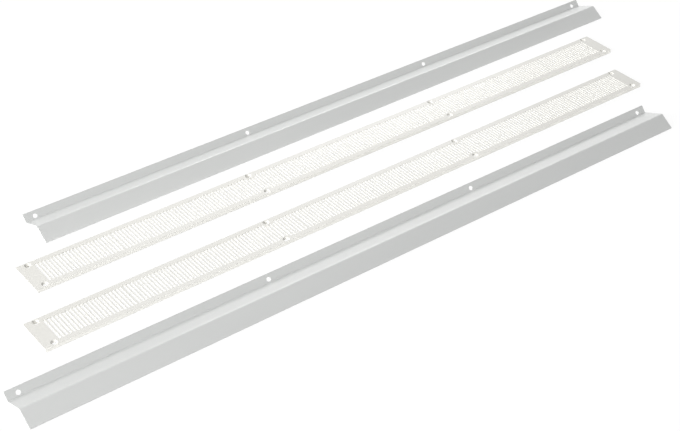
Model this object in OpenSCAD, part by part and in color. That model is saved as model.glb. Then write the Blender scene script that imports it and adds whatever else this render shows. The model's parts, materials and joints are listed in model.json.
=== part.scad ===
// Window trickle vent set: two folded metal canopies and two moulded slotted grilles, laid out side by side.
// X runs along the strips, Y away from the viewer, Z up from the surface that they lie on.

/* [Set] */
// Spans between the screw holes along every strip
spans = 3; // [1:1:4]
// Clear gap between the front canopy and the front grille
front_gap = 33.5; // [5:0.5:80]
// Clear gap between the two grilles
grille_gap = 41.5; // [5:0.5:80]
// Clear gap between the rear grille and the rear canopy
rear_gap = 24.5; // [5:0.5:80]
// How far the front canopy lies to the right of the front grille
front_canopy_shift = -57; // [-150:1:150]
// How far the rear grille lies to the right of the front grille
rear_grille_shift = 38.5; // [-150:0.5:150]
// How far the rear canopy lies to the right of the front grille
rear_canopy_shift = 98; // [-150:1:150]
// How far the front canopy is turned as it lies, degrees
front_canopy_turn = -0.5; // [-3:0.1:3]
// How far the rear canopy is turned as it lies, degrees
rear_canopy_turn = 0.4; // [-3:0.1:3]

/* [Grille] */
// Distance between neighbouring hole pairs
grille_hole_span = 300; // [200:5:400]
// End hole pair to the end of the grille
grille_end = 13; // [9:0.5:20]
// Width of the grille
grille_w = 48; // [40:0.5:60]
// Height of the grille over its skirt
grille_h = 5; // [4:0.5:10]
// Thickness of the slotted face
face_t = 1.2; // [1:0.1:3]
// Thickness of the skirt round the edge
skirt_t = 1.6; // [1:0.1:2]
// Radius of the four corners
corner_r = 1.5; // [0.5:0.1:3]
// Diameter of the screw holes in the grille
grille_hole_d = 4.5; // [3.5:0.1:5]
// How much wider the mouth of a screw hole is, for a countersunk head
sink_wider = 3.3; // [2:0.1:3.4]
// Plain length of a screw hole below its countersink
hole_plain = 0.75; // [0.4:0.05:2]
// Hole centre to the long edge
hole_edge = 4.4; // [4.3:0.1:6]
// Plain land between the end holes and the first slot
end_land = 7; // [5.5:0.5:15]

/* [Slots] */
// Width of a slot
slot_w = 2.2; // [1.6:0.1:3]
// Width of a bar between two slots
bar_w = 2.2; // [1.6:0.1:4]
// Plain rim between the slots and the long edge
rim_w = 6.5; // [5:0.5:8]
// Plain wall that is kept between the mouth of a screw hole and the slots
pad_wall = 1.3; // [0.8:0.1:3]
// Bars that carry a moulding gate
gate_count = 4; // [1:1:6]
// Width of a gate bar
gate_bar_w = 3.1; // [2.4:0.1:5]
// Diameter of a gate mark
gate_d = 1.6; // [0.8:0.1:2]
// Depth of a gate mark
gate_depth = 0.5; // [0.2:0.1:0.8]

/* [Canopy] */
// Distance between neighbouring screw holes
canopy_hole_span = 305; // [200:5:400]
// End hole to the end of the canopy
canopy_end = 13.5; // [8:0.5:25]
// Thickness of the sheet
sheet_t = 1.5; // [0.9:0.1:2.5]
// Inside radius of both bends
bend_r = 1.2; // [0.8:0.1:3]
// Angle of the bend between flange and web, degrees
flange_bend = 70; // [40:1:90]
// Angle of the bend between web and face, degrees
face_bend = 55; // [30:1:80]
// Width of the web between its two bend lines
web_w = 30; // [20:0.5:60]
// Width of the face from its bend line to its free edge
face_w = 22.5; // [12:0.5:40]
// Diameter of the screw holes in the canopy
canopy_hole_d = 5.5; // [4:0.1:6.5]
// Flat land between the flange bend and a screw hole
hole_land = 0.3; // [0.2:0.1:3]
// Hole centre to the free edge of the flange
flange_edge = 6.6; // [5:0.1:12]

/* [Hidden] */

$fn = 48;
corner_steps = 6;
bend_steps = 12;
cut = 1;
ivory = [0.93, 0.92, 0.87];
grey = [0.78, 0.79, 0.79];

// Places of the hole pairs along a strip, from its middle
function hole_places(span) = [for (i = [0 : spans]) (i - spans / 2) * span];

// Grille: sizes that follow from the driving ones
grille_holes = hole_places(grille_hole_span);
grille_len = spans * grille_hole_span + 2 * grille_end;
hole_row = grille_w / 2 - hole_edge;
field_half = spans * grille_hole_span / 2 - end_land;
slot_half = grille_w / 2 - rim_w;
sink_r = (grille_hole_d + sink_wider) / 2;
slot_half_at_hole = hole_row - sink_r - pad_wall;
pad_reach = sink_r + pad_wall + slot_w / 2;
pad_half = sink_r + pad_wall / 2;
pad_out = hole_edge - skirt_t / 2;
pad_t = max(face_t, sink_wider / 2 + hole_plain);
gate_places = [for (i = [0 : gate_count - 1]) grille_len * ((i + 0.5) / gate_count - 0.5)];

// Slots are spread evenly over each stretch between the end plates and the gate bars
stretch_starts = [-field_half, for (x = gate_places) x + gate_bar_w / 2];
stretch_ends = [for (x = gate_places) x - gate_bar_w / 2, field_half];
function slots_between(a, b) =
    let (n = max(2, round((b - a + bar_w) / (slot_w + bar_w))), step = (b - a - slot_w) / (n - 1))
    [for (i = [0 : n - 1]) a + slot_w / 2 + i * step];
slot_places = [for (k = [0 : gate_count]) each slots_between(stretch_starts[k], stretch_ends[k])];

// A slot beside a screw hole stops short of it
function hole_distance(x) = min([for (h = grille_holes) abs(x - h)]);
function half_of_slot(x) = hole_distance(x) < pad_reach ? min(slot_half, slot_half_at_hole) : slot_half;

// Plan outlines
function rounded_plan(l, w, r) = [
    for (c = [[1, 1, 0], [-1, 1, 90], [-1, -1, 180], [1, -1, 270]])
    for (i = [0 : corner_steps])
    let (a = c[2] + 90 * i / corner_steps)
    [c[0] * (l / 2 - r) + r * cos(a), c[1] * (w / 2 - r) + r * sin(a)]
];
function slot_plan(x) =
    let (h = half_of_slot(x), s = slot_w / 2)
    [[x - s, -h], [x + s, -h], [x + s, h], [x - s, h]];
function path_at(first, count) = [for (i = [0 : count - 1]) first + i];

// Canopy: the section is drawn with its web level, the flange bend line at the origin
function aim(a) = [cos(a), sin(a)];
function turned(p, a) = [p[0] * cos(a) - p[1] * sin(a), p[0] * sin(a) + p[1] * cos(a)];
function bend_arc(centre, r, a0, a1) = [
    for (i = [0 : bend_steps]) centre + r * aim(a0 + (a1 - a0) * i / bend_steps)
];
canopy_holes = hole_places(canopy_hole_span);
canopy_len = spans * canopy_hole_span + 2 * canopy_end;
mid_r = bend_r + sheet_t / 2;
outer_r = bend_r + sheet_t;
hole_in = mid_r * tan(flange_bend / 2) + hole_land + canopy_hole_d / 2;
flange_tip = (hole_in + flange_edge) * aim(flange_bend);
ridge = [-web_w, 0];
face_tip = ridge + face_w * aim(180 + face_bend);
flange_up = aim(flange_bend + 90);
face_up = aim(face_bend + 90);
flange_bend_centre = mid_r / cos(flange_bend / 2) * aim(90 + flange_bend / 2);
face_bend_centre = ridge + mid_r / cos(face_bend / 2) * aim(face_bend / 2 - 90);
section = concat(
    [flange_tip + flange_up * sheet_t / 2],
    bend_arc(flange_bend_centre, bend_r, flange_bend - 90, -90),
    bend_arc(face_bend_centre, outer_r, 90, 90 + face_bend),
    [face_tip + face_up * sheet_t / 2, face_tip - face_up * sheet_t / 2],
    bend_arc(face_bend_centre, bend_r, 90 + face_bend, 90),
    bend_arc(flange_bend_centre, outer_r, -90, flange_bend - 90),
    [flange_tip - flange_up * sheet_t / 2]
);

// It lies on the outside of its flange bend and on the lower corner of its face, which is the lying origin
foot = face_tip - face_up * sheet_t / 2;
foot_to_bend = flange_bend_centre - foot;
lie_angle = asin(outer_r / norm(foot_to_bend)) - atan2(foot_to_bend[1], foot_to_bend[0]);
function lying(p) = turned(p - foot, lie_angle);
lying_section = [for (p = section) lying(p)];
hole_centre = lying(hole_in * aim(flange_bend));
hole_tilt = flange_bend + lie_angle;
canopy_near = min([for (p = lying_section) p[0]]);
canopy_far = max([for (p = lying_section) p[0]]);

// Layout: the front grille is placed first, the others follow from the gaps, and the set is centred on the origin
function swing(turn) = canopy_len / 2 * sin(abs(turn));
front_canopy_y = -grille_w / 2 - front_gap - canopy_far * cos(front_canopy_turn) - swing(front_canopy_turn);
rear_grille_y = grille_w + grille_gap;
rear_canopy_y = rear_grille_y + grille_w / 2 + rear_gap - canopy_near * cos(rear_canopy_turn)
    + swing(rear_canopy_turn);
function plan_corners(x, y, turn, half, near, far) = [
    for (sx = [-half, half], sy = [near, far]) [x, y] + turned([sx, sy], turn)
];
corners = concat(
    plan_corners(0, 0, 0, grille_len / 2, -grille_w / 2, grille_w / 2),
    plan_corners(rear_grille_shift, rear_grille_y, 0, grille_len / 2, -grille_w / 2, grille_w / 2),
    plan_corners(front_canopy_shift, front_canopy_y, front_canopy_turn, canopy_len / 2, canopy_near, canopy_far),
    plan_corners(rear_canopy_shift, rear_canopy_y, rear_canopy_turn, canopy_len / 2, canopy_near, canopy_far)
);
corner_xs = [for (c = corners) c[0]];
corner_ys = [for (c = corners) c[1]];
middle = [(min(corner_xs) + max(corner_xs)) / 2, (min(corner_ys) + max(corner_ys)) / 2];

module placed(x, y, turn) {
    translate([x - middle[0], y - middle[1], 0])
        rotate([0, 0, turn])
            children();
}

// Slotted face of a grille, with one closed outline per slot
module slotted_face() {
    edge = rounded_plan(grille_len, grille_w, corner_r);
    points = concat(edge, [for (x = slot_places) each slot_plan(x)]);
    paths = concat(
        [path_at(0, len(edge))],
        [for (i = [0 : len(slot_places) - 1]) path_at(len(edge) + 4 * i, 4)]
    );
    translate([0, 0, grille_h - face_t])
        linear_extrude(face_t)
            polygon(points, paths);
}

// Skirt that stiffens the edge
module skirt() {
    linear_extrude(grille_h)
        difference() {
            polygon(rounded_plan(grille_len, grille_w, corner_r));
            polygon(rounded_plan(grille_len - 2 * skirt_t, grille_w - 2 * skirt_t, corner_r / 2));
        }
}

// Thicker pads under the face, from each screw hole to the skirt
module screw_pads() {
    for (x = grille_holes, side = [-1, 1])
        translate([x, side * (hole_row + (pad_out - pad_half) / 2), grille_h - pad_t])
            linear_extrude(pad_t - face_t / 2)
                square([2 * pad_half, pad_half + pad_out], center = true);
}

// Something at every screw hole of a grille
module at_grille_holes() {
    for (x = grille_holes, y = [-hole_row, hole_row])
        translate([x, y, 0])
            children();
}

// Countersunk screw hole, its cone at a right angle across
module screw_hole() {
    translate([0, 0, -cut])
        cylinder(h = grille_h + 2 * cut, d = grille_hole_d);
    translate([0, 0, grille_h - sink_wider / 2])
        cylinder(h = sink_wider / 2 + cut, r1 = grille_hole_d / 2, r2 = sink_r + cut);
}

module grille() {
    color(ivory)
        difference() {
            union() {
                slotted_face();
                skirt();
                screw_pads();
            }
            at_grille_holes()
                screw_hole();
            for (x = gate_places)
                translate([x, 0, grille_h - gate_depth])
                    cylinder(h = gate_depth + cut, d = gate_d);
        }
}

module canopy() {
    color(grey)
        difference() {
            rotate([90, 0, 90])
                linear_extrude(canopy_len, center = true)
                    polygon(lying_section);
            for (x = canopy_holes)
                translate([x, hole_centre[0], hole_centre[1]])
                    rotate([hole_tilt, 0, 0])
                        cylinder(h = sheet_t + 2 * cut, d = canopy_hole_d, center = true);
        }
}

module front_canopy() {
    placed(front_canopy_shift, front_canopy_y, front_canopy_turn) canopy();
}

module front_grille() {
    placed(0, 0, 0) grille();
}

module rear_grille() {
    placed(rear_grille_shift, rear_grille_y, 0) grille();
}

module rear_canopy() {
    placed(rear_canopy_shift, rear_canopy_y, rear_canopy_turn) canopy();
}

front_canopy();
front_grille();
rear_grille();
rear_canopy();
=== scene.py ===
import json
import math

import bpy
from mathutils import Euler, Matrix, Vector


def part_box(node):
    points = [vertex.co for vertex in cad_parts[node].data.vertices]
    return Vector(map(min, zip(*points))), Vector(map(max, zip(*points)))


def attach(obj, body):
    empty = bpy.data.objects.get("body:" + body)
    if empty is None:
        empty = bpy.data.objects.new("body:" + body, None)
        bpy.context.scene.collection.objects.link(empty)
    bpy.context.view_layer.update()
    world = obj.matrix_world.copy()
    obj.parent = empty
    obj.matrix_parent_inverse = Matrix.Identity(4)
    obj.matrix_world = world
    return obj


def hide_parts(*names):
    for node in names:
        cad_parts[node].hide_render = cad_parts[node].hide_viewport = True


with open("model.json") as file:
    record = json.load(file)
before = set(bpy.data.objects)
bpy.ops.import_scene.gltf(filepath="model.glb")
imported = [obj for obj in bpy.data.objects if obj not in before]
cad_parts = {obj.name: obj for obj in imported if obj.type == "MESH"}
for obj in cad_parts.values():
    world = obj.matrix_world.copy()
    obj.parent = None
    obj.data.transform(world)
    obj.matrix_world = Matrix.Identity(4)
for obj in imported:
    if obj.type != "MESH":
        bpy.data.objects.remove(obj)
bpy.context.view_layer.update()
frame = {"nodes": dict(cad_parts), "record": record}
mm = 0.001
touch = 1e-6  # points closer than this count as one
scene = bpy.context.scene
scene.view_settings.view_transform = "Standard"
bpy.ops.object.select_all(action="DESELECT")
print("frame loaded:", ", ".join(sorted(frame["nodes"])))


def middleOf(name):
    low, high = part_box(name)
    return Vector(((low.x + high.x) / 2, (low.y + high.y) / 2, low.z))


# small helpers for node trees
nodeGrid = (200, -160)  # spacing in the node editor


def addNode(tree, kind, column, row, **settings):
    node = tree.nodes.new(kind)
    node.location = (column * nodeGrid[0], row * nodeGrid[1])
    for name, value in settings.items():
        setattr(node, name, value)
    return node


def feed(tree, source, socket):
    if hasattr(source, "is_output"):
        tree.links.new(source, socket)
    else:
        socket.default_value = source


def mathNode(tree, operation, first, second, column, row):
    node = addNode(tree, "ShaderNodeMath", column, row, operation=operation)
    feed(tree, first, node.inputs[0])
    feed(tree, second, node.inputs[1])
    return node.outputs[0]


def mixColour(tree, factor, first, second, column, row):
    node = addNode(tree, "ShaderNodeMix", column, row, data_type="RGBA")
    feed(tree, factor, node.inputs["Factor"])
    feed(tree, first, node.inputs[6])
    feed(tree, second, node.inputs[7])
    return node.outputs[2]


def newGroup(name, inputs, outputs):
    group = bpy.data.node_groups.new(name, "ShaderNodeTree")
    for label, kind in inputs:
        group.interface.new_socket(name=label, in_out="INPUT", socket_type=kind)
    for label, kind in outputs:
        group.interface.new_socket(name=label, in_out="OUTPUT", socket_type=kind)
    return group, addNode(group, "NodeGroupInput", -4, 0), addNode(group, "NodeGroupOutput", 6, 0)


def useGroup(tree, group, column, row, **values):
    node = addNode(tree, "ShaderNodeGroup", column, row, node_tree=group)
    for label, value in values.items():
        feed(tree, value, node.inputs[label])
    return node


# slow drift of tone over a long strip, with a fine fleck on top
driftBand = (0.35, 0.65)  # the stretch of the noise over which the tone changes
driftDetail = 3.0
fleckDetail = 2.0


def makeToneDrift():
    group, given, result = newGroup(
        "toneDrift",
        [("Vector", "NodeSocketVector"), ("Base", "NodeSocketColor"), ("Drift", "NodeSocketColor"),
         ("Fleck", "NodeSocketColor"), ("DriftScale", "NodeSocketFloat"), ("FleckScale", "NodeSocketFloat"),
         ("FleckAmount", "NodeSocketFloat")],
        [("Color", "NodeSocketColor"), ("Mask", "NodeSocketFloat")])
    slow = addNode(group, "ShaderNodeTexNoise", -2, 0)
    slow.inputs["Detail"].default_value = driftDetail
    fine = addNode(group, "ShaderNodeTexNoise", -2, 2)
    fine.inputs["Detail"].default_value = fleckDetail
    for node, label in ((slow, "DriftScale"), (fine, "FleckScale")):
        group.links.new(given.outputs["Vector"], node.inputs["Vector"])
        group.links.new(given.outputs[label], node.inputs["Scale"])
    ramp = addNode(group, "ShaderNodeMapRange", 0, 0, interpolation_type="SMOOTHSTEP")
    ramp.inputs["From Min"].default_value = driftBand[0]
    ramp.inputs["From Max"].default_value = driftBand[1]
    group.links.new(slow.outputs["Fac"], ramp.inputs["Value"])
    drifted = mixColour(group, ramp.outputs["Result"], given.outputs["Base"], given.outputs["Drift"], 2, 0)
    speck = mathNode(group, "MULTIPLY", fine.outputs["Fac"], given.outputs["FleckAmount"], 2, 2)
    group.links.new(mixColour(group, speck, drifted, given.outputs["Fleck"], 4, 0), result.inputs["Color"])
    group.links.new(ramp.outputs["Result"], result.inputs["Mask"])
    return group


# height of a fine surface texture: a coarse wave and a finer grain
def makeSurfaceGrain():
    group, given, result = newGroup(
        "surfaceGrain",
        [("Vector", "NodeSocketVector"), ("WaveScale", "NodeSocketFloat"), ("GrainScale", "NodeSocketFloat"),
         ("GrainShare", "NodeSocketFloat")],
        [("Height", "NodeSocketFloat")])
    wave = addNode(group, "ShaderNodeTexNoise", -2, 0)
    grain = addNode(group, "ShaderNodeTexNoise", -2, 2)
    for node, label, detail in ((wave, "WaveScale", 1.0), (grain, "GrainScale", 2.0)):
        node.inputs["Detail"].default_value = detail
        group.links.new(given.outputs["Vector"], node.inputs["Vector"])
        group.links.new(given.outputs[label], node.inputs["Scale"])
    mix = addNode(group, "ShaderNodeMix", 1, 0, data_type="FLOAT")
    group.links.new(given.outputs["GrainShare"], mix.inputs["Factor"])
    group.links.new(wave.outputs["Fac"], mix.inputs[2])
    group.links.new(grain.outputs["Fac"], mix.inputs[3])
    group.links.new(mix.outputs[0], result.inputs["Height"])
    return group


# how close a point is to a sharp edge, from a rounded normal against the true one
def makeEdgeMask():
    group, given, result = newGroup(
        "edgeMask",
        [("Radius", "NodeSocketFloat"), ("Gain", "NodeSocketFloat")],
        [("Mask", "NodeSocketFloat")])
    rounded = addNode(group, "ShaderNodeBevel", -2, 0, samples=6)
    group.links.new(given.outputs["Radius"], rounded.inputs["Radius"])
    geometry = addNode(group, "ShaderNodeNewGeometry", -2, 2)
    dot = addNode(group, "ShaderNodeVectorMath", 0, 0, operation="DOT_PRODUCT")
    group.links.new(rounded.outputs["Normal"], dot.inputs[0])
    group.links.new(geometry.outputs["Normal"], dot.inputs[1])
    away = mathNode(group, "SUBTRACT", 1.0, dot.outputs["Value"], 1, 0)
    gained = addNode(group, "ShaderNodeMath", 3, 0, operation="MULTIPLY", use_clamp=True)
    group.links.new(away, gained.inputs[0])
    group.links.new(given.outputs["Gain"], gained.inputs[1])
    group.links.new(gained.outputs[0], result.inputs["Mask"])
    return group


toneDrift = makeToneDrift()
surfaceGrain = makeSurfaceGrain()
edgeMask = makeEdgeMask()


def newMaterial(name):
    material = bpy.data.materials.new(name)
    material.use_nodes = True
    tree = material.node_tree
    tree.nodes.clear()
    shader = addNode(tree, "ShaderNodeBsdfPrincipled", 6, 0)
    output = addNode(tree, "ShaderNodeOutputMaterial", 8, 0)
    tree.links.new(shader.outputs["BSDF"], output.inputs["Surface"])
    return material, tree, shader


def stretched(tree, middle, stretch, column, row):
    coordinates = addNode(tree, "ShaderNodeTexCoord", column, row)
    mapping = addNode(tree, "ShaderNodeMapping", column + 1, row, vector_type="POINT")
    mapping.inputs["Location"].default_value = [-m * s for m, s in zip(middle, stretch)]
    mapping.inputs["Scale"].default_value = stretch
    tree.links.new(coordinates.outputs["Object"], mapping.inputs["Vector"])
    return mapping.outputs["Vector"]


# canopies: folded sheet with a satin light grey coat
canopyLook = {
    "base": (0.636, 0.645, 0.636, 1.0),
    "drift": (0.615, 0.624, 0.616, 1.0),
    "fleck": (0.678, 0.685, 0.678, 1.0),
    "edge": (0.360, 0.365, 0.362, 1.0),  # painted shade: the sheet's sharp edges, cut ends and hole rims are darkened to stand in for the shadow along them
    "driftScale": 9.0,
    "fleckScale": 900.0,
    "fleckAmount": 0.25,
    "stretch": (0.25, 1.0, 1.0),  # the tone runs with the length of the sheet
    "waveScale": 420.0,
    "grainScale": 1700.0,
    "grainShare": 0.3,
    "grainStrength": 0.06,
    "grainHeight": 0.03 * mm,
    "roughSmooth": 0.30,
    "roughDull": 0.38,
    "edgeRadius": 0.7 * mm,
    "edgeGain": 1.2,
}


# grilles: ivory moulding with a fine matt grain
grilleLook = {
    "base": (0.706, 0.699, 0.664, 1.0),
    "drift": (0.690, 0.681, 0.641, 1.0),
    "fleck": (0.748, 0.741, 0.712, 1.0),
    # painted highlight: the moulding's sharp edges are lightened to stand in for the light they catch
    "edge": (0.772, 0.766, 0.740, 1.0),
    "driftScale": 7.0,
    "fleckScale": 1400.0,
    "fleckAmount": 0.25,
    "stretch": (0.35, 1.0, 1.0),
    "waveScale": 900.0,
    "grainScale": 2600.0,
    "grainShare": 0.55,
    "grainStrength": 0.10,
    "grainHeight": 0.03 * mm,
    "roughSmooth": 0.42,
    "roughDull": 0.52,
    "edgeRadius": 0.35 * mm,
    "edgeGain": 0.7,
}


def makeFinish(name, middle, look):
    material, tree, shader = newMaterial(name)
    along = stretched(tree, middle, look["stretch"], -4, 0)
    even = stretched(tree, middle, (1.0, 1.0, 1.0), -4, 3)
    tone = useGroup(tree, toneDrift, 0, 0, Vector=along, Base=look["base"], Drift=look["drift"],
                    Fleck=look["fleck"], DriftScale=look["driftScale"], FleckScale=look["fleckScale"],
                    FleckAmount=look["fleckAmount"])
    # painted light at the sharp edges: shade on the canopies, highlight on the grilles
    paintedEdgeLight = useGroup(tree, edgeMask, 0, 2, Radius=look["edgeRadius"], Gain=look["edgeGain"])
    colour = mixColour(tree, paintedEdgeLight.outputs["Mask"], tone.outputs["Color"], look["edge"], 3, 0)
    tree.links.new(colour, shader.inputs["Base Color"])
    rough = addNode(tree, "ShaderNodeMapRange", 3, 1)
    rough.inputs["To Min"].default_value = look["roughSmooth"]
    rough.inputs["To Max"].default_value = look["roughDull"]
    tree.links.new(tone.outputs["Mask"], rough.inputs["Value"])
    tree.links.new(rough.outputs["Result"], shader.inputs["Roughness"])
    grain = useGroup(tree, surfaceGrain, 0, 4, Vector=even, WaveScale=look["waveScale"],
                     GrainScale=look["grainScale"], GrainShare=look["grainShare"])
    bump = addNode(tree, "ShaderNodeBump", 3, 4)
    bump.inputs["Strength"].default_value = look["grainStrength"]
    bump.inputs["Distance"].default_value = look["grainHeight"]
    tree.links.new(grain.outputs["Height"], bump.inputs["Height"])
    tree.links.new(bump.outputs["Normal"], shader.inputs["Normal"])
    return material


# helpers for modelling by hand: one active piece at a time, edges and faces picked by their place
def startPiece(name):
    piece = bpy.context.object
    piece.name = name
    piece.data.name = name
    return piece


def makeActive(piece):
    if bpy.context.object and bpy.context.object.mode != "OBJECT":
        bpy.ops.object.mode_set(mode="OBJECT")
    bpy.ops.object.select_all(action="DESELECT")
    bpy.context.view_layer.objects.active = piece
    piece.select_set(True)


def pickEdges(piece, wanted):
    bpy.ops.object.mode_set(mode="EDIT")
    bpy.ops.mesh.select_mode(type="EDGE")
    bpy.ops.mesh.select_all(action="DESELECT")
    bpy.ops.object.mode_set(mode="OBJECT")
    corners = piece.data.vertices
    for edge in piece.data.edges:
        edge.select = wanted(*[corners[i].co for i in edge.vertices])
    bpy.ops.object.mode_set(mode="EDIT")


def pickFaces(piece, wanted):
    bpy.ops.object.mode_set(mode="EDIT")
    bpy.ops.mesh.select_mode(type="FACE")
    bpy.ops.mesh.select_all(action="DESELECT")
    bpy.ops.object.mode_set(mode="OBJECT")
    for face in piece.data.polygons:
        face.select = wanted(face)
    bpy.ops.object.mode_set(mode="EDIT")


def applyModifier(piece, name, kind, **settings):
    modifier = piece.modifiers.new(name, kind)
    for label, value in settings.items():
        setattr(modifier, label, value)
    makeActive(piece)
    bpy.ops.object.modifier_apply(modifier=name)


def repeat(piece, name, count, step):
    applyModifier(piece, name, "ARRAY", count=count, use_relative_offset=False, use_constant_offset=True,
                  constant_offset_displace=step)


def cutAway(piece, cutter):
    applyModifier(piece, "cut", "BOOLEAN", operation="DIFFERENCE", solver="EXACT", object=cutter)
    bpy.data.objects.remove(cutter)


sharpFrom = math.radians(40)  # flatter edges aren't rounded


def roundEdges(piece, radius):
    applyModifier(piece, "round", "BEVEL", width=radius, segments=2, limit_method="ANGLE",
                  angle_limit=sharpFrom, loop_slide=False, use_clamp_overlap=False)
    makeActive(piece)
    bpy.ops.object.shade_smooth()
    applyModifier(piece, "evenShading", "WEIGHTED_NORMAL", weight=80)


def settle(piece, turn, place):
    makeActive(piece)
    piece.rotation_euler = turn
    piece.location = place
    bpy.ops.object.transform_apply(location=True, rotation=True, scale=True)


def copyOf(piece, name):
    twin = piece.copy()
    twin.data = piece.data.copy()
    twin.name = name
    twin.data.name = name
    scene.collection.objects.link(twin)
    return twin


def standFor(piece, node, material):
    piece.data.materials.clear()
    piece.data.materials.append(material)
    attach(piece, node)
    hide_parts(node)
    print("made", piece.name, "with", len(piece.data.polygons), "faces")


mounts = {mount["name"]: mount for mount in frame["record"]["mounts"]}

# one canopy: a flat web, a flange and a face extruded from its two long edges, then folded and thickened
canopyShape = {
    "sheet": 1.5 * mm,
    "bendInside": 1.2 * mm,
    "flangeBend": 70.0,
    "faceBend": 55.0,
    "web": 30.0 * mm,
    "face": 22.5 * mm,
    "holeLand": 0.3 * mm,
    "flangeEdge": 6.6 * mm,
    "endMargin": 13.5 * mm,
    "bendSteps": 10,
    "holeSteps": 48,
    "edgeRound": 0.15 * mm,
}


def makeCanopy():
    shape = canopyShape
    first, last = (Vector(mounts[f"front_canopy_screw_{i}"]["pos_m"]) for i in (1, 4))
    holeRadius = mounts["front_canopy_screw_1"]["dims"]["r_mm"] * mm
    span = (last - first).length
    length = span + 2 * shape["endMargin"]
    up, down = math.radians(shape["flangeBend"]), math.radians(shape["faceBend"])
    middleRadius = shape["bendInside"] + shape["sheet"] / 2
    holeIn = middleRadius * math.tan(up / 2) + shape["holeLand"] + holeRadius
    flange = holeIn + shape["flangeEdge"]
    bpy.ops.mesh.primitive_plane_add(size=1, location=(0, -shape["web"] / 2, 0))
    piece = startPiece("canopyBlank")
    piece.scale = (length, shape["web"], 1)
    bpy.ops.object.transform_apply(location=True, rotation=True, scale=True)
    pickEdges(piece, lambda a, b: min(a.y, b.y) > -touch)
    flangeEnd = (0, flange * math.cos(up), flange * math.sin(up))
    bpy.ops.mesh.extrude_region_move(TRANSFORM_OT_translate={"value": flangeEnd})
    pickEdges(piece, lambda a, b: max(abs(a.y + shape["web"]), abs(b.y + shape["web"])) < touch)
    faceEnd = (0, -shape["face"] * math.cos(down), -shape["face"] * math.sin(down))
    bpy.ops.mesh.extrude_region_move(TRANSFORM_OT_translate={"value": faceEnd})
    for line, angle in ((0.0, up), (-shape["web"], down)):
        pickEdges(piece, lambda a, b: max(abs(a.y - line), abs(b.y - line), abs(a.z), abs(b.z)) < touch)
        bpy.ops.mesh.bevel(offset_type="OFFSET", offset=middleRadius * math.tan(angle / 2),
                           segments=shape["bendSteps"], profile=0.5, affect="EDGES")
    bpy.ops.object.mode_set(mode="OBJECT")
    applyModifier(piece, "thicken", "SOLIDIFY", thickness=shape["sheet"], offset=0.0, use_even_offset=True)
    bpy.ops.object.select_all(action="DESELECT")
    holeMiddle = Vector((0, holeIn * math.cos(up), holeIn * math.sin(up)))
    punchDepth = 6 * shape["sheet"]  # well past both sides of the sheet
    bpy.ops.mesh.primitive_cylinder_add(
        vertices=shape["holeSteps"], radius=holeRadius, depth=punchDepth,
        location=(-span / 2, holeMiddle.y, holeMiddle.z), rotation=(up, 0, 0))
    cutter = startPiece("canopyPunch")
    bpy.ops.object.transform_apply(location=True, rotation=True, scale=True)
    repeat(cutter, "alongFlange", 4, (span / 3, 0, 0))
    cutAway(piece, cutter)
    roundEdges(piece, shape["edgeRound"])
    bpy.ops.object.select_all(action="DESELECT")
    return piece, holeMiddle


# each canopy lies as its own screw holes say
def layCanopy(blank, holeMiddle, name):
    piece = copyOf(blank, name + "_folded")
    first, last = (Vector(mounts[f"{name}_screw_{i}"]["pos_m"]) for i in (1, 4))
    turn = math.atan2(last.y - first.y, last.x - first.x)
    axis = Vector(mounts[f"{name}_screw_1"]["axis"])
    leanOver = math.atan2(axis.z, math.copysign(math.hypot(axis.x, axis.y), axis.y))
    lie = leanOver - math.radians(90 + canopyShape["flangeBend"])
    spin = Euler((lie, 0, turn))
    settle(piece, spin, (first + last) / 2 - spin.to_matrix() @ holeMiddle)
    standFor(piece, name, makeFinish(name + "_coat", middleOf(name), canopyLook))


canopyBlank, canopyHole = makeCanopy()
for name in ("front_canopy", "rear_canopy"):
    layCanopy(canopyBlank, canopyHole, name)
bpy.data.objects.remove(canopyBlank)

# one grille: a block hollowed from below, then slots, screw holes and gate marks cut through its face
grilleShape = {
    "faceThick": 1.2 * mm,
    "skirtThick": 1.6 * mm,
    "cornerRadius": 1.5 * mm,
    "cornerSteps": 6,
    "slotWide": 2.2 * mm,
    "barWide": 2.2 * mm,
    "rim": 6.5 * mm,
    "padWall": 1.3 * mm,
    "endLand": 7.0 * mm,
    "sinkWider": 3.3 * mm,
    "holePlain": 0.75 * mm,
    "gateCount": 4,
    "gateBar": 3.1 * mm,
    "gateRadius": 0.8 * mm,
    "gateDepth": 0.5 * mm,
    "holeSteps": 48,
    "edgeRound": 0.12 * mm,
}


# middles of the slots along the grille, spread evenly between the end plates and the gate bars
def slotPlaces(gates, fieldHalf):
    shape = grilleShape
    starts = [-fieldHalf] + [x + shape["gateBar"] / 2 for x in gates]
    ends = [x - shape["gateBar"] / 2 for x in gates] + [fieldHalf]
    places = []
    for start, end in zip(starts, ends):
        count = round((end - start + shape["barWide"]) / (shape["slotWide"] + shape["barWide"]))
        step = (end - start - shape["slotWide"]) / (count - 1)
        places += [start + shape["slotWide"] / 2 + i * step for i in range(count)]
    return places


# punch for a countersunk screw hole: a cylinder whose top is extruded and widened into a cone
def makeScrewPunch(holeRadius, mouthRadius, at, height):
    coneFoot = height - (mouthRadius - holeRadius)
    bpy.ops.object.select_all(action="DESELECT")
    bpy.ops.mesh.primitive_cylinder_add(vertices=grilleShape["holeSteps"], radius=holeRadius, depth=coneFoot,
                                        location=(at[0], at[1], coneFoot / 2))
    punch = startPiece("screwPunch")
    bpy.ops.object.transform_apply(location=True, rotation=True, scale=True)
    pickFaces(punch, lambda face: face.normal.z > 0.9)
    bpy.ops.mesh.extrude_region_move(TRANSFORM_OT_translate={"value": (0, 0, mouthRadius)})
    wider = 1 + mouthRadius / holeRadius
    bpy.ops.transform.resize(value=(wider, wider, 1), center_override=(at[0], at[1], coneFoot + mouthRadius))
    bpy.ops.object.mode_set(mode="OBJECT")
    return punch


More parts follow.
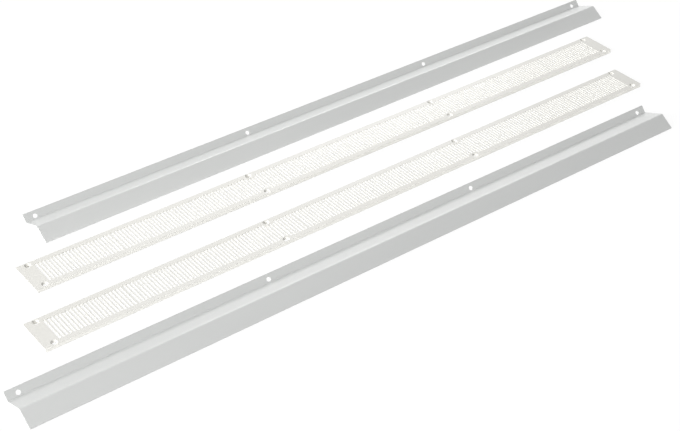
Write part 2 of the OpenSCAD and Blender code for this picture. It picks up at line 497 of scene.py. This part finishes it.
def makeGrille():
    shape = grilleShape
    low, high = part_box("front_grille")
    length, width, height = high - low
    outer, inner = (mounts[f"front_grille_{which}_screws"]["dims"] for which in ("outer", "inner"))
    holeXs = sorted(side * dims["spacing_x_mm"] * mm / 2 for dims in (outer, inner) for side in (-1, 1))
    holeY = outer["spacing_y_mm"] * mm / 2
    holeRadius = outer["hole_r_mm"] * mm
    mouthRadius = holeRadius + shape["sinkWider"] / 2
    bpy.ops.object.select_all(action="DESELECT")
    bpy.ops.mesh.primitive_cube_add(size=1, location=(0, 0, height / 2))
    piece = startPiece("grilleBlank")
    piece.scale = (length, width, height)
    bpy.ops.object.transform_apply(location=True, rotation=True, scale=True)
    pickFaces(piece, lambda face: face.normal.z < -0.9)
    bpy.ops.mesh.inset(thickness=shape["skirtThick"], depth=0)
    bpy.ops.mesh.extrude_region_move(TRANSFORM_OT_translate={"value": (0, 0, height - shape["faceThick"])})
    # the outer corners stand the full height, the inner ones end below the face
    for upright, radius in ((height, shape["cornerRadius"]),
                            (height - shape["faceThick"], shape["cornerRadius"] / 2)):
        pickEdges(piece, lambda a, b: abs(abs(a.z - b.z) - upright) < touch)
        bpy.ops.mesh.bevel(offset=radius, segments=shape["cornerSteps"], affect="EDGES")
    bpy.ops.object.mode_set(mode="OBJECT")
    gates = [length * ((i + 0.5) / shape["gateCount"] - 0.5) for i in range(shape["gateCount"])]
    slotHalf = width / 2 - shape["rim"]
    slotHalfAtHole = holeY - mouthRadius - shape["padWall"]
    padReach = mouthRadius + shape["padWall"] + shape["slotWide"] / 2
    faceMiddle = height - shape["faceThick"] / 2
    padHalf = mouthRadius + shape["padWall"] / 2
    padOut = width / 2 - holeY - shape["skirtThick"] / 2
    padThick = mouthRadius - holeRadius + shape["holePlain"]
    padDeep = padThick - shape["faceThick"] / 2
    bpy.ops.mesh.primitive_cube_add(
        size=1, location=(holeXs[0], (padHalf - padOut) / 2 - holeY, height - padThick + padDeep / 2))
    pad = startPiece("screwPad")
    pad.scale = (2 * padHalf, padHalf + padOut, padDeep)
    bpy.ops.object.transform_apply(location=True, rotation=True, scale=True)
    repeat(pad, "alongGrille", len(holeXs), (holeXs[1] - holeXs[0], 0, 0))
    repeat(pad, "acrossGrille", 2, (0, 2 * holeY - padHalf + padOut, 0))
    applyModifier(piece, "addPads", "BOOLEAN", operation="UNION", solver="EXACT", object=pad)
    bpy.data.objects.remove(pad)
    screwPunch = makeScrewPunch(holeRadius, mouthRadius, (holeXs[0], -holeY), height)
    repeat(screwPunch, "alongGrille", len(holeXs), (holeXs[1] - holeXs[0], 0, 0))
    repeat(screwPunch, "acrossGrille", 2, (0, 2 * holeY, 0))
    bpy.ops.mesh.primitive_cylinder_add(vertices=shape["holeSteps"] // 2, radius=shape["gateRadius"],
                                        depth=2 * shape["gateDepth"], location=(gates[0], 0, height))
    gatePunch = startPiece("gatePunch")
    bpy.ops.object.transform_apply(location=True, rotation=True, scale=True)
    repeat(gatePunch, "alongGrille", len(gates), (gates[1] - gates[0], 0, 0))
    makeActive(screwPunch)
    bpy.ops.object.mode_set(mode="EDIT")
    for x in slotPlaces(gates, outer["spacing_x_mm"] * mm / 2 - shape["endLand"]):
        nearHole = min(abs(x - hole) for hole in holeXs) < padReach
        half = slotHalfAtHole if nearHole else slotHalf
        bpy.ops.mesh.primitive_cube_add(size=1, location=(x, 0, faceMiddle),
                                        scale=(shape["slotWide"], 2 * half, 2 * shape["faceThick"]))
    bpy.ops.object.mode_set(mode="OBJECT")
    gatePunch.select_set(True)
    bpy.ops.object.join()
    cutAway(piece, screwPunch)
    roundEdges(piece, shape["edgeRound"])
    bpy.ops.object.select_all(action="DESELECT")
    return piece


def layGrille(blank, name):
    piece = copyOf(blank, name + "_moulded")
    settle(piece, (0, 0, 0), middleOf(name))
    standFor(piece, name, makeFinish(name + "_plastic", middleOf(name), grilleLook))


grilleBlank = makeGrille()
for name in ("front_grille", "rear_grille"):
    layGrille(grilleBlank, name)
bpy.data.objects.remove(grilleBlank)

# white floor that keeps a light shadow
floorLook = {
    "size": 14.0,
    "drop": 0.05 * mm,
    "albedo": (0.90, 0.90, 0.90, 1.0),
    "glow": 1.03,
    "shadowShare": 0.1,  # how much of the floor that the camera sees is lit floor and not plain white
}


# 1 where the camera, a reflection or clear matter looks at a surface, 0 where it only passes light on
def seenDirectly(tree):
    path = addNode(tree, "ShaderNodeLightPath", -4, 0)
    seen = mathNode(tree, "MAXIMUM", path.outputs["Is Camera Ray"], path.outputs["Is Glossy Ray"], -2, 0)
    return mathNode(tree, "MAXIMUM", seen, path.outputs["Is Transmission Ray"], -1, 0)


def makeFloor():
    look = floorLook
    bpy.ops.mesh.primitive_plane_add(size=look["size"], location=(0, 0, -look["drop"]))
    floor = bpy.context.object
    floor.name = "floor"
    material = bpy.data.materials.new("floorWhite")
    material.use_nodes = True
    tree = material.node_tree
    tree.nodes.clear()
    output = addNode(tree, "ShaderNodeOutputMaterial", 6, 0)
    lit = addNode(tree, "ShaderNodeBsdfDiffuse", 0, 0)
    lit.inputs["Color"].default_value = look["albedo"]
    plain = addNode(tree, "ShaderNodeEmission", 0, 2)
    plain.inputs["Strength"].default_value = look["glow"]
    share = mathNode(tree, "MULTIPLY", seenDirectly(tree), 1.0 - look["shadowShare"], 0, 4)
    mix = addNode(tree, "ShaderNodeMixShader", 3, 0)
    tree.links.new(share, mix.inputs["Fac"])
    tree.links.new(lit.outputs["BSDF"], mix.inputs[1])
    tree.links.new(plain.outputs["Emission"], mix.inputs[2])
    tree.links.new(mix.outputs["Shader"], output.inputs["Surface"])
    floor.data.materials.append(material)


makeFloor()

# plain soft studio light
worldLook = {"colour": (1.0, 1.0, 1.0, 1.0), "strength": 0.3}
lampAim = Vector((-0.05, 0.0, 0.0))
lampLooks = [
    {"name": "left", "at": (-5.0, 0.0, 1.8), "size": (2.5, 1.5), "power": 258.0},
    {"name": "frontLeft", "at": (-3.6, -3.6, 2.0), "size": (2.5, 1.5), "power": 112.0},
    {"name": "backLeft", "at": (-1.5, 1.6, 1.3), "size": (1.8, 1.2), "power": 19.0},
    {"name": "backRight", "at": (1.17, 1.77, 0.83), "size": (1.4, 0.75), "power": 21.0},
]
# a weak lamp level with the floor, below the grilles and the rear canopy, which shines up into the slots
tableLook = {"name": "table", "at": (0.0, 0.145, -0.02 * mm), "size": (1.6, 0.51), "power": 1.4}


def makeWorld():
    world = bpy.data.worlds.new("studio")
    world.use_nodes = True
    scene.world = world
    tree = world.node_tree
    tree.nodes.clear()
    output = addNode(tree, "ShaderNodeOutputWorld", 4, 0)
    sky = addNode(tree, "ShaderNodeBackground", 0, 0)
    sky.inputs["Color"].default_value = worldLook["colour"]
    sky.inputs["Strength"].default_value = worldLook["strength"]
    plain = addNode(tree, "ShaderNodeBackground", 0, 2)
    plain.inputs["Color"].default_value = worldLook["colour"]
    mix = addNode(tree, "ShaderNodeMixShader", 2, 0)
    tree.links.new(seenDirectly(tree), mix.inputs["Fac"])
    tree.links.new(sky.outputs["Background"], mix.inputs[1])
    tree.links.new(plain.outputs["Background"], mix.inputs[2])
    tree.links.new(mix.outputs["Shader"], output.inputs["Surface"])


def makeLamp(look, aim):
    data = bpy.data.lights.new(look["name"], "AREA")
    data.shape = "RECTANGLE"
    data.size, data.size_y = look["size"]
    data.energy = look["power"]
    lamp = bpy.data.objects.new(look["name"], data)
    scene.collection.objects.link(lamp)
    lamp.location = look["at"]
    lamp.rotation_euler = (aim - Vector(look["at"])).to_track_quat("-Z", "Y").to_euler()
    lamp.visible_camera = False
    return lamp


makeWorld()
for look in lampLooks:
    makeLamp(look, lampAim)
table = makeLamp(tableLook, Vector(tableLook["at"]) + Vector((0, 0, 1)))
table.visible_glossy = False

# camera at the photograph's angle, placed from the middle of the front grille
cameraLook = {
    "fromGrille": (-0.8967, -0.9866, 0.9414),
    "tilt": 53.52,
    "roll": -3.93,
    "yaw": -35.63,
    "lens": 70.71,
    "sensor": 36.0,
    "reach": 50.0,
}


def makeCamera():
    look = cameraLook
    data = bpy.data.cameras.new("photoCamera")
    data.sensor_fit = "HORIZONTAL"
    data.sensor_width = look["sensor"]
    data.lens = look["lens"]
    data.clip_end = look["reach"]
    camera = bpy.data.objects.new("photoCamera", data)
    scene.collection.objects.link(camera)
    camera.location = middleOf("front_grille") + Vector(look["fromGrille"])
    turn = Euler([math.radians(look[k]) for k in ("tilt", "roll", "yaw")], "YXZ")
    camera.rotation_mode = "YXZ"
    camera.rotation_euler = turn
    scene.camera = camera


makeCamera()
print("floor, light and camera set")
